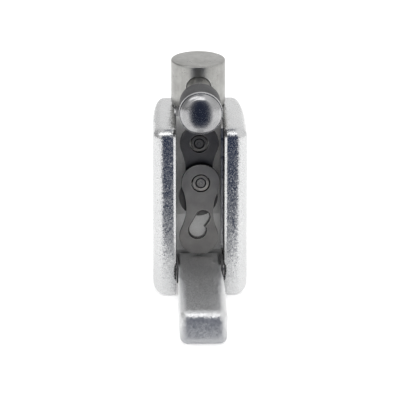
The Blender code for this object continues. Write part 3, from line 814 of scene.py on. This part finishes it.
def drive_screw_head():
    low, high = extent("drive_screw")
    axis = (low + high) / 2
    radius = (high.x - low.x) / 2
    bottom = high.z - HEAD_HEIGHT
    profile = rounded(
        [
            (0.0, high.z),
            (radius, high.z),
            (radius, bottom),
            (THREAD_ROOT, bottom),
            (THREAD_ROOT, bottom - NECK_LENGTH),
            (0.0, bottom - NECK_LENGTH),
        ],
        [0, HEAD_EDGE, HEAD_EDGE, NECK_FILLET, 0, 0],
        closed=False,
    )
    head = revolve("drive_screw_head", profile, "z", (0.0, axis.y, 0.0), 128)
    bar_low, bar_high = extent("cross_bar")
    centre = (0.0, axis.y, (bar_low.z + bar_high.z) / 2)
    cut(head, cylinder("hole", BAR_HOLE, -HOLE_REACH, HOLE_REACH, "y", centre, 96))
    soften(head, HOLE_EDGE, 2)
    finish_piece(head, "screw", "turned_steel", "drive_screw")


def thread_radius(z, turn, ends):
    """The thread's radius at a height and a share of a turn. Ends is 0 where it runs out."""
    phase = (z / THREAD_PITCH - turn) % 1.0
    crest = min(max(CREST_HEIGHT - abs(phase - 0.5) * CREST_SLOPE, 0.0), 1.0)
    return THREAD_ROOT + (THREAD_RADIUS - THREAD_ROOT) * crest * ends


def screw_ring(axis_y, z, radii):
    """A ring around the screw's axis with a radius for each spot."""
    ring = []
    for spot, radius in enumerate(radii):
        angle = 2 * math.pi * (spot / THREAD_SPOTS)
        ring.append((radius * math.cos(angle), axis_y + radius * math.sin(angle), z))
    return ring


def drive_screw_thread():
    """The threaded shank, a helix worked out point by point, with the press pin's pocket."""
    low, high = extent("drive_screw")
    axis_y = (low.y + high.y) / 2
    bottom, top = low.z, high.z - HEAD_HEIGHT - SHANK_START
    levels = int((top - bottom) / THREAD_PITCH * LEVELS_PER_PITCH)
    rings = []
    for level in range(levels + 1):
        z = top + (bottom - top) * level / levels
        ends = max(min((z - bottom) / THREAD_RUNOUT, (top - z) / THREAD_RUNOUT, 1.0), 0.0)
        turns = [spot / THREAD_SPOTS for spot in range(THREAD_SPOTS)]
        rings.append(screw_ring(axis_y, z, [thread_radius(z, turn, ends) for turn in turns]))
    pocket = (
        (POCKET_MOUTH, bottom),
        (POCKET_RADIUS, bottom + POCKET_LIP),
        (POCKET_RADIUS, bottom + POCKET_DEPTH),
    )
    for radius, z in pocket:
        rings.append(screw_ring(axis_y, z, [radius] * THREAD_SPOTS))
    shank = loft("drive_screw_shank", rings)
    finish_piece(shank, "screw", "hardened_steel")


# ---------------------------------------------------------------- cross bar

# The visible rod is a little thicker than the CAD one, and its ends are turned down.
ROD_EXTRA = 0.08
ROD_END_RADIUS = 1.5
FRONT_END_GAP = 0.3
SLEEVE_PLAY = 0.02


def cross_bar():
    low, high = extent("cross_bar")
    centre = (0.0, 0.0, (low.z + high.z) / 2)
    rod_radius = (high.x - low.x) / 2 + ROD_EXTRA
    sleeve_low, sleeve_high = extent("bar_sleeve")
    ring_low, ring_high = extent("bar_stop_ring")

    profile = rounded(
        [
            (0.0, low.y + FRONT_END_GAP),
            (ROD_END_RADIUS, low.y + FRONT_END_GAP),
            (ROD_END_RADIUS, sleeve_low.y),
            (rod_radius, sleeve_low.y),
            (rod_radius, ring_low.y),
            (ROD_END_RADIUS, ring_low.y),
            (ROD_END_RADIUS, high.y),
            (0.0, high.y),
        ],
        [0, 0.2, 0, 0.2, 0.3, 0, 0.25, 0],
        closed=False,
    )
    rod = revolve("cross_bar_rod", profile, "y", centre)
    finish_piece(rod, "bar", "turned_steel", "cross_bar")

    outer = (sleeve_high.x - sleeve_low.x) / 2
    inner = rod_radius + SLEEVE_PLAY
    profile = rounded(
        [(outer, sleeve_low.y), (outer, sleeve_high.y), (inner, sleeve_high.y), (inner, sleeve_low.y)],
        [0.3, 0.45, 0.1, 0.1],
        steps=5,
    )
    sleeve = revolve("bar_sleeve_tube", profile, "y", centre, closed=True)
    finish_piece(sleeve, "bar", "grey_sleeve", "bar_sleeve")

    outer = (ring_high.x - ring_low.x) / 2
    inner = ROD_END_RADIUS + SLEEVE_PLAY
    profile = rounded(
        [(outer, ring_low.y), (outer, ring_high.y), (inner, ring_high.y), (inner, ring_low.y)],
        [0.25, 0.25, 0.1, 0.1],
    )
    stop = revolve("bar_stop_washer", profile, "y", centre, closed=True)
    finish_piece(stop, "bar", "turned_steel", "bar_stop_ring")


# The knob is a shallow dome inside a thin bead, with two fine turned rings on it.
RIM_LENGTH = 0.9
BACK_EDGE = 0.25
RIM_BEAD = 0.12
BEAD_END_DEGREES = -115
DOME_START = 1.55 * RIM_BEAD
DOME_STEPS = 30
RING_DEPTH = 0.035
RING_STEPS = (8, 11)


def bar_knob():
    low, high = extent("bar_knob")
    centre = (0.0, 0.0, (low.z + high.z) / 2)
    radius = (high.x - low.x) / 2
    rim_front = high.y - RIM_LENGTH
    dome = rim_front - low.y
    profile = [(0.0, high.y)]
    profile += arc((radius - BACK_EDGE, high.y - BACK_EDGE), BACK_EDGE, 90, 0, 5)
    profile += arc((radius - RIM_BEAD, rim_front), RIM_BEAD, 0, BEAD_END_DEGREES, 8)
    inner = radius - DOME_START
    for step in range(1, DOME_STEPS + 1):
        angle = math.radians(90 * step / DOME_STEPS)
        ring = RING_DEPTH if step in RING_STEPS else 0.0
        profile.append((inner * math.cos(angle), rim_front - dome * math.sin(angle) + ring))
    knob = revolve("bar_knob_dome", profile, "y", centre, 128)
    finish_piece(knob, "bar", "polished_steel", "bar_knob")


# ---------------------------------------------------------------- quick link halves

# The halves are drawn upright about their rivet, which is in the middle of the upper lobe.
LINK_PITCH = 12.7
LOBE_RADIUS = 4.33
WAIST_HALF = 3.0
SEAT_RADIUS = 2.12
RECESS_DEPTH = 0.66
LINK_EDGE = 0.11
CUT_PAST = 1

# The keyhole's two holes, each a centre and a radius, and the cusp between them.
KEY_WIDE = ((-0.35, -11.15), 2.15)
KEY_NARROW = ((0.78, -8.0), 1.75)
KEY_CUSP = (1.25, -10.4)
CUSP_GAP_DEGREES = 6

# The keyhole steps in at the bottom of its recess, and its cusp moves with the step.
KEY_STEP = 0.36
CUSP_SHIFT = (-0.8, 0.1)

# The rivet's shank, the rim that fills the seat, and the groove of its head.
SHANK_RADIUS = 1.45
SHANK_EDGE = 0.2
RIM_RADIUS = 1.86
GROOVE_DEPTH = 0.60


def link_outline():
    half_pitch = LINK_PITCH / 2
    hollow_radius = (half_pitch**2 + WAIST_HALF**2 - LOBE_RADIUS**2) / (
        2 * (LOBE_RADIUS - WAIST_HALF)
    )
    hollow_x = WAIST_HALF + hollow_radius
    lean = math.degrees(math.atan2(half_pitch, hollow_x))
    return [
        *arc((0.0, 0.0), LOBE_RADIUS, -lean, 180 + lean, 48),
        *arc((-hollow_x, -half_pitch), hollow_radius, lean, -lean, 16)[1:-1],
        *arc((0.0, -LINK_PITCH), LOBE_RADIUS, 180 - lean, 360 + lean, 48),
        *arc((hollow_x, -half_pitch), hollow_radius, 180 + lean, 180 - lean, 16)[1:-1],
    ]


def keyhole_outline(step):
    """The wide hole and the narrow one, with a straight left flank and a cusp on the right.

    The step makes the whole outline smaller."""
    wide, wide_radius = Vector(KEY_WIDE[0]), KEY_WIDE[1] - step
    narrow, narrow_radius = Vector(KEY_NARROW[0]), KEY_NARROW[1] - step
    cusp = Vector(KEY_CUSP) + Vector(CUSP_SHIFT) * step
    along = narrow - wide
    heading = math.degrees(math.atan2(along.y, along.x))
    spread = math.degrees(math.acos((wide_radius - narrow_radius) / along.length))
    to_cusp = cusp - narrow
    tangent = math.degrees(math.acos(narrow_radius / to_cusp.length))
    start = math.degrees(math.atan2(to_cusp.y, to_cusp.x)) + tangent
    from_wide = cusp - wide
    end = 360 + math.degrees(math.atan2(from_wide.y, from_wide.x)) - CUSP_GAP_DEGREES
    return [
        *arc(narrow, narrow_radius, start, heading + spread, 24),
        *arc(wide, wide_radius, heading + spread, end, 36),
        tuple(cusp),
    ]


def link_side(name, face, back):
    """A half's plate, with the stepped keyhole and the seat of the rivet."""
    start, end = face - CUT_PAST, back + CUT_PAST
    plate = prism(name, link_outline(), face, back, "y")
    recess = prism("recess", keyhole_outline(0.0), start, face + RECESS_DEPTH, "y")
    keyhole = prism("keyhole", keyhole_outline(KEY_STEP), start, end, "y")
    seat = cylinder("seat", SEAT_RADIUS, start, end, "y", (0, 0, 0), 72)
    cut(plate, recess, keyhole, seat)
    soften(plate, LINK_EDGE, 3)
    return plate


def link_rivet(name, proud, tip, face, back):
    """The pin from its tip to its head, which stands proud with a groove and a centre mark."""
    profile = [
        (0.0, tip),
        *arc((SHANK_RADIUS - SHANK_EDGE, tip - SHANK_EDGE), SHANK_EDGE, 90, 0, 4),
        (SHANK_RADIUS, back + 0.02),
        (RIM_RADIUS, back - 0.02),
        (RIM_RADIUS, face + 0.14),
        (1.80, face + 0.04),
        (1.66, proud + 0.02),
        (1.34, proud + 0.02),
        (1.24, proud + 0.10),
        (1.20, proud + GROOVE_DEPTH),
        (0.98, proud + GROOVE_DEPTH),
        (0.94, proud + 0.16),
        (0.84, proud + 0.08),
        (0.46, proud + 0.08),
        (0.40, proud + 0.16),
        (0.30, proud + 0.16),
        (0.24, proud + 0.08),
        (0.0, proud + 0.06),
    ]
    return revolve(name, profile, "y", (0, 0, 0), 72)


def link_half(label, tilt_degrees, finish):
    """One half of the quick link: its plate, and the riveted pin, turned to its tilt."""
    pin_low, pin_high = extent(f"{label}_link_pin")
    plate_low, plate_high = extent(f"{label}_link_plate")
    rivet_x, rivet_z = (pin_low.x + pin_high.x) / 2, (pin_low.z + pin_high.z) / 2
    place = Matrix.Translation(Vector((rivet_x, 0, rivet_z)) * MM) @ Matrix.Rotation(
        math.radians(tilt_degrees), 4, "Y"
    )
    face, back = plate_low.y, plate_high.y
    plate = link_side(f"{label}_link_side", face, back)
    pin = link_rivet(f"{label}_link_rivet", pin_low.y, pin_high.y, face, back)
    for piece, node in ((plate, f"{label}_link_plate"), (pin, f"{label}_link_pin")):
        piece.data.transform(place)
        finish_piece(piece, f"{label}_link", "dark_steel", node, finish=finish)


# ---------------------------------------------------------------- studio

# Only reflections see the dark cards. Their lengths are in metres.
DARK_COLOUR = (0.028, 0.041, 0.084)

# The floor's wedge: where it starts ahead of the plates and is half and fully dark, its
# slope beside the tool from full dark to clear, and its half width and its tip.
DARK_START = (0.023, 0.041, 0.066)
DARK_SPREAD = (0.25, 0.78)
DARK_HALF = 0.006
DARK_APEX = 0.012

# The half widths and reaches of the ellipses, and how far back the ceiling's middle is.
DARK_WALL = (0.74, 1.6)
DARK_CEILING = (0.22, 0.33)
DARK_CEILING_BACK = 0.2

# The room is dimmer to the left and brighter from its middle to the right.
ROOM_LEFT = 0.46
ROOM_RIGHT = 0.96
ROOM_FADE = (-0.8, 0.0)

FLOOR_GREY = 0.9
FLOOR_GLOW = 0.14


def darkness(name, colour, falloff):
    """A material that is dark where its falloff is 1, and clear where it is 0."""
    n = Nodes(name)
    n.tree.nodes.remove(n.shader)
    n.shader = None
    output = n.tree.nodes["Material Output"]
    split = n.add("ShaderNodeSeparateXYZ")
    n.link(n.place, split.inputs[0])
    amount = falloff(n, split.outputs["X"], split.outputs["Y"], split.outputs["Z"])
    glow = n.add("ShaderNodeEmission")
    glow.inputs["Color"].default_value = (*colour, 1.0)
    clear = n.add("ShaderNodeBsdfTransparent")
    mix = n.add("ShaderNodeMixShader")
    n.link(amount, mix.inputs[0])
    n.link(clear.outputs[0], mix.inputs[1])
    n.link(glow.outputs[0], mix.inputs[2])
    n.link(mix.outputs[0], output.inputs["Surface"])
    return n.material


def floor_falloff(n, x, y, z):
    """Dark in a wedge in front of the tool, which starts softly a short way out."""
    ahead = n.maths("SUBTRACT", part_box("left_side_plate")[0].y, y)
    near = n.ramp(ahead, 0.0, 0.6, DARK_START[0], DARK_START[1])
    start = n.maths("ADD", near, n.ramp(ahead, 0.0, 0.4, DARK_START[1], DARK_START[2]))
    beside = n.maths("SUBTRACT", n.maths("ABSOLUTE", x, 0.0), DARK_HALF)
    spread = n.maths("DIVIDE", beside, n.maths("SUBTRACT", ahead, DARK_APEX))
    side = n.ramp(spread, 1.0, 0.0, DARK_SPREAD[0], DARK_SPREAD[1])
    return n.maths("MULTIPLY", start, side)


def ellipse_reach(n, first, second, reaches):
    """0 in the middle of an ellipse and 1 on its edge."""
    squares = []
    for distance, reach in zip((first, second), reaches):
        share = n.maths("DIVIDE", n.maths("ABSOLUTE", distance, 0.0), reach)
        squares.append(n.maths("POWER", share, 2.0))
    return n.maths("SQRT", n.maths("ADD", *squares), 0.0)


def wall_falloff(n, x, y, z):
    """Dark in a half ellipse that stands on the floor at the front of the room."""
    return n.ramp(ellipse_reach(n, x, z, DARK_WALL), 1.0, 0.0, 0.35, 1.0)


def ceiling_falloff(n, x, y, z):
    """Dark in an ellipse above the tool and a little behind it."""
    behind = n.maths("SUBTRACT", y, DARK_CEILING_BACK)
    return n.ramp(ellipse_reach(n, x, behind, DARK_CEILING), 0.85, 0.0, 0.4, 1.0)


# The dark cards' lowest and highest corners in millimetres.
DARK_CARDS = (
    ("dark_floor", (-1500, -1000, 0.2), (1500, -20, 0.3), floor_falloff),
    ("dark_wall", (-1200, -1010, 0.2), (1200, -1000, 1200), wall_falloff),
    ("dark_ceiling", (-400, -200, 1000), (400, 600, 1001), ceiling_falloff),
)


def slab(name, low, high):
    x0, y0, z0 = low
    x1, y1, z1 = high
    return loft(name, [[(x0, y0, z), (x1, y0, z), (x1, y1, z), (x0, y1, z)] for z in (z0, z1)])


def pale_floor():
    floor = slab("floor", (-4000, -4000, -5.0), (4000, 4000, -0.02))
    pale = Nodes("floor_pale")
    pale.set(
        Roughness=0.6,
        Base_Color=(FLOOR_GREY, FLOOR_GREY, FLOOR_GREY, 1.0),
        Emission_Color=(1.0, 1.0, 1.0, 1.0),
        Emission_Strength=FLOOR_GLOW,
    )
    floor.data.materials.append(pale.material)


def white_room():
    world = bpy.data.worlds.new("studio")
    bpy.context.scene.world = world
    world.use_nodes = True
    nodes, links = world.node_tree.nodes, world.node_tree.links
    background = nodes["Background"]
    background.inputs["Color"].default_value = (1.0, 1.0, 1.0, 1.0)
    around = nodes.new("ShaderNodeTexCoord")
    split = nodes.new("ShaderNodeSeparateXYZ")
    shade = nodes.new("ShaderNodeMapRange")
    links.new(around.outputs["Generated"], split.inputs[0])
    links.new(split.outputs["X"], shade.inputs["Value"])
    for socket, value in zip(shade.inputs[1:5], (*ROOM_FADE, ROOM_LEFT, ROOM_RIGHT)):
        socket.default_value = value
    links.new(shade.outputs[0], background.inputs["Strength"])


def dark_cards():
    for name, low, high, falloff in DARK_CARDS:
        card = slab(name, low, high)
        card.data.materials.append(darkness(name, DARK_COLOUR, falloff))
        card.visible_camera = False
        card.visible_diffuse = False
        card.visible_shadow = False
        card.visible_transmission = False


# Each light's place and size in metres, its watts, and whether reflections see it. A light
# that they don't see casts no shadow either. All of them aim at the middle of the tool.
LIGHT_AIM = Vector((0, 0, 0.02))
LIGHTS = (
    ("front_top", (-0.3, -0.55, 0.98), (1.4, 0.45), 3.2, True),
    ("front_left", (-0.75, -0.55, 0.5), (0.5, 0.5), 0.3, True),
    ("left_top", (-0.7, 0.1, 0.8), (0.8, 0.8), 3.2, False),
    ("right_top", (0.7, 0.1, 0.8), (0.8, 0.8), 3.2, False),
)


def softbox(name, place, size, watts, glossy):
    light = bpy.data.lights.new(name, "AREA")
    light.shape = "RECTANGLE"
    light.size, light.size_y = size
    light.energy = watts
    light.use_shadow = glossy
    thing = add_object(name, light)
    thing.location = Vector(place)
    thing.rotation_euler = (LIGHT_AIM - thing.location).to_track_quat("-Z", "Y").to_euler()
    thing.visible_camera = False
    thing.visible_glossy = glossy


# The camera looks from the front and above, a touch from the left. Angles are in degrees,
# the distance in metres and the lens and sensor in millimetres.
AZIMUTH = -1.45
ELEVATION = 19.7
DISTANCE = 0.8
LENS = 324.0
SENSOR = 36.0
AIM_ACROSS = -0.00007
AIM_HEIGHT = 0.0229


def camera():
    data = bpy.data.cameras.new("camera")
    data.sensor_width = SENSOR
    data.lens = LENS
    data.clip_start, data.clip_end = 0.01, 20.0
    thing = add_object("camera", data)
    bpy.context.scene.camera = thing
    aim = Vector((AIM_ACROSS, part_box("left_side_plate")[0].y, AIM_HEIGHT))
    azimuth, elevation = math.radians(AZIMUTH), math.radians(ELEVATION)
    back = Vector(
        (
            math.sin(azimuth) * math.cos(elevation),
            -math.cos(azimuth) * math.cos(elevation),
            math.sin(elevation),
        )
    )
    thing.location = aim + back * DISTANCE
    thing.rotation_euler = (-back).to_track_quat("-Z", "Y").to_euler()


bpy.context.scene.view_settings.view_transform = "Standard"
dress_cad_nodes()
side_plate("left_side_plate", -1)
side_plate("right_side_plate", 1)
folding_handle()
drive_screw_head()
drive_screw_thread()
cross_bar()
bar_knob()
link_half("front", 2.1, "dark_steel")
link_half("rear", 1.0, "dark_steel_shaded")
pale_floor()
white_room()
dark_cards()
for light in LIGHTS:
    softbox(*light)
camera()
